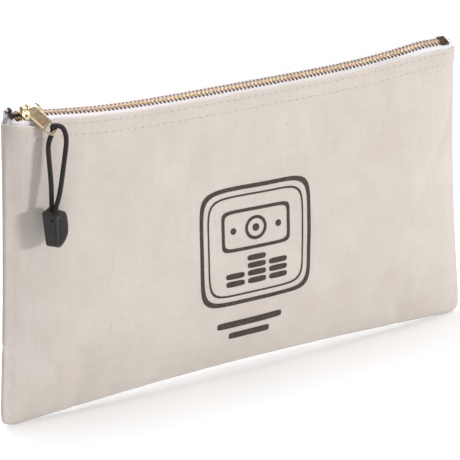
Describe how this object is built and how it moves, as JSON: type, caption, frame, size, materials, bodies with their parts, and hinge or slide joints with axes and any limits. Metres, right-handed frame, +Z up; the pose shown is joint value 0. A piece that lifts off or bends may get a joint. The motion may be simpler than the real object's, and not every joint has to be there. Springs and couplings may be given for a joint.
{
  "type": "cash deposit bag",
  "caption": "Flat canvas zipper bag for cash and documents, with a metal zip across the mouth, a brass slider and tab, and a corded pull with a moulded grip.",
  "frame": {"origin": "middle of the flat strip under the bag that it stands on", "axes": "+X to the right along the zip seen from the front, +Y to the back, +Z up; the front panel faces -Y"},
  "size_m": [0.318, 0.0342, 0.1816],
  "materials": {
    "canvas": "natural cotton duck, unbleached",
    "zip_tape": "white woven cotton tape",
    "stitch_thread": "undyed thread",
    "antique_brass": "antique brass, slightly dull",
    "yellow_brass": "polished yellow brass",
    "cord_braid": "black braided cord",
    "grip_plastic": "charcoal moulded plastic"
  },
  "bodies": {
    "bag": {"front_panel": "canvas", "back_panel": "canvas", "front_tape": "zip_tape", "back_tape": "zip_tape", "front_bead_cord": "zip_tape", "back_bead_cord": "zip_tape", "front_upper_stitches": "stitch_thread", "front_lower_stitches": "stitch_thread", "back_upper_stitches": "stitch_thread", "back_lower_stitches": "stitch_thread", "left_seam_stitches": "stitch_thread", "right_seam_stitches": "stitch_thread", "bottom_seam_stitches": "stitch_thread", "front_teeth": "antique_brass", "back_teeth": "antique_brass", "front_top_stop": "antique_brass", "back_top_stop": "antique_brass", "bottom_stop": "antique_brass"},
    "slider": {"slider_body": "yellow_brass", "slider_bridge": "yellow_brass"},
    "tab": {"pull_tab": "yellow_brass"},
    "cord": {"pull_cord": "cord_braid", "cord_knot": "cord_braid", "cord_end_body": "grip_plastic", "cord_end_cover": "grip_plastic"}
  },
  "joints": [
    {"name": "slider_travel", "type": "slide", "parent": "bag", "child": "slider", "axis": [1, 0, 0], "range_m": [0, 0.266], "deforming": ["front_teeth", "back_teeth", "front_bead_cord", "back_bead_cord"]},
    {"name": "tab_flip", "type": "hinge", "parent": "slider", "child": "tab", "pos_m": [-0.1375, -0.0014, 0.17952], "axis": [-1, 0, 0], "range_deg": [0, 70]},
    {"name": "cord_hang", "type": "hinge", "parent": "tab", "child": "cord", "pos_m": [-0.13112, -0.0179, 0.16916], "axis": [-1, 0, 0], "range_deg": [-70, 0], "deforming": ["pull_cord"]}
  ],
  "couplings": [
    {"joint": "cord_hang", "follows": "tab_flip", "ratio": -1}
  ]
}
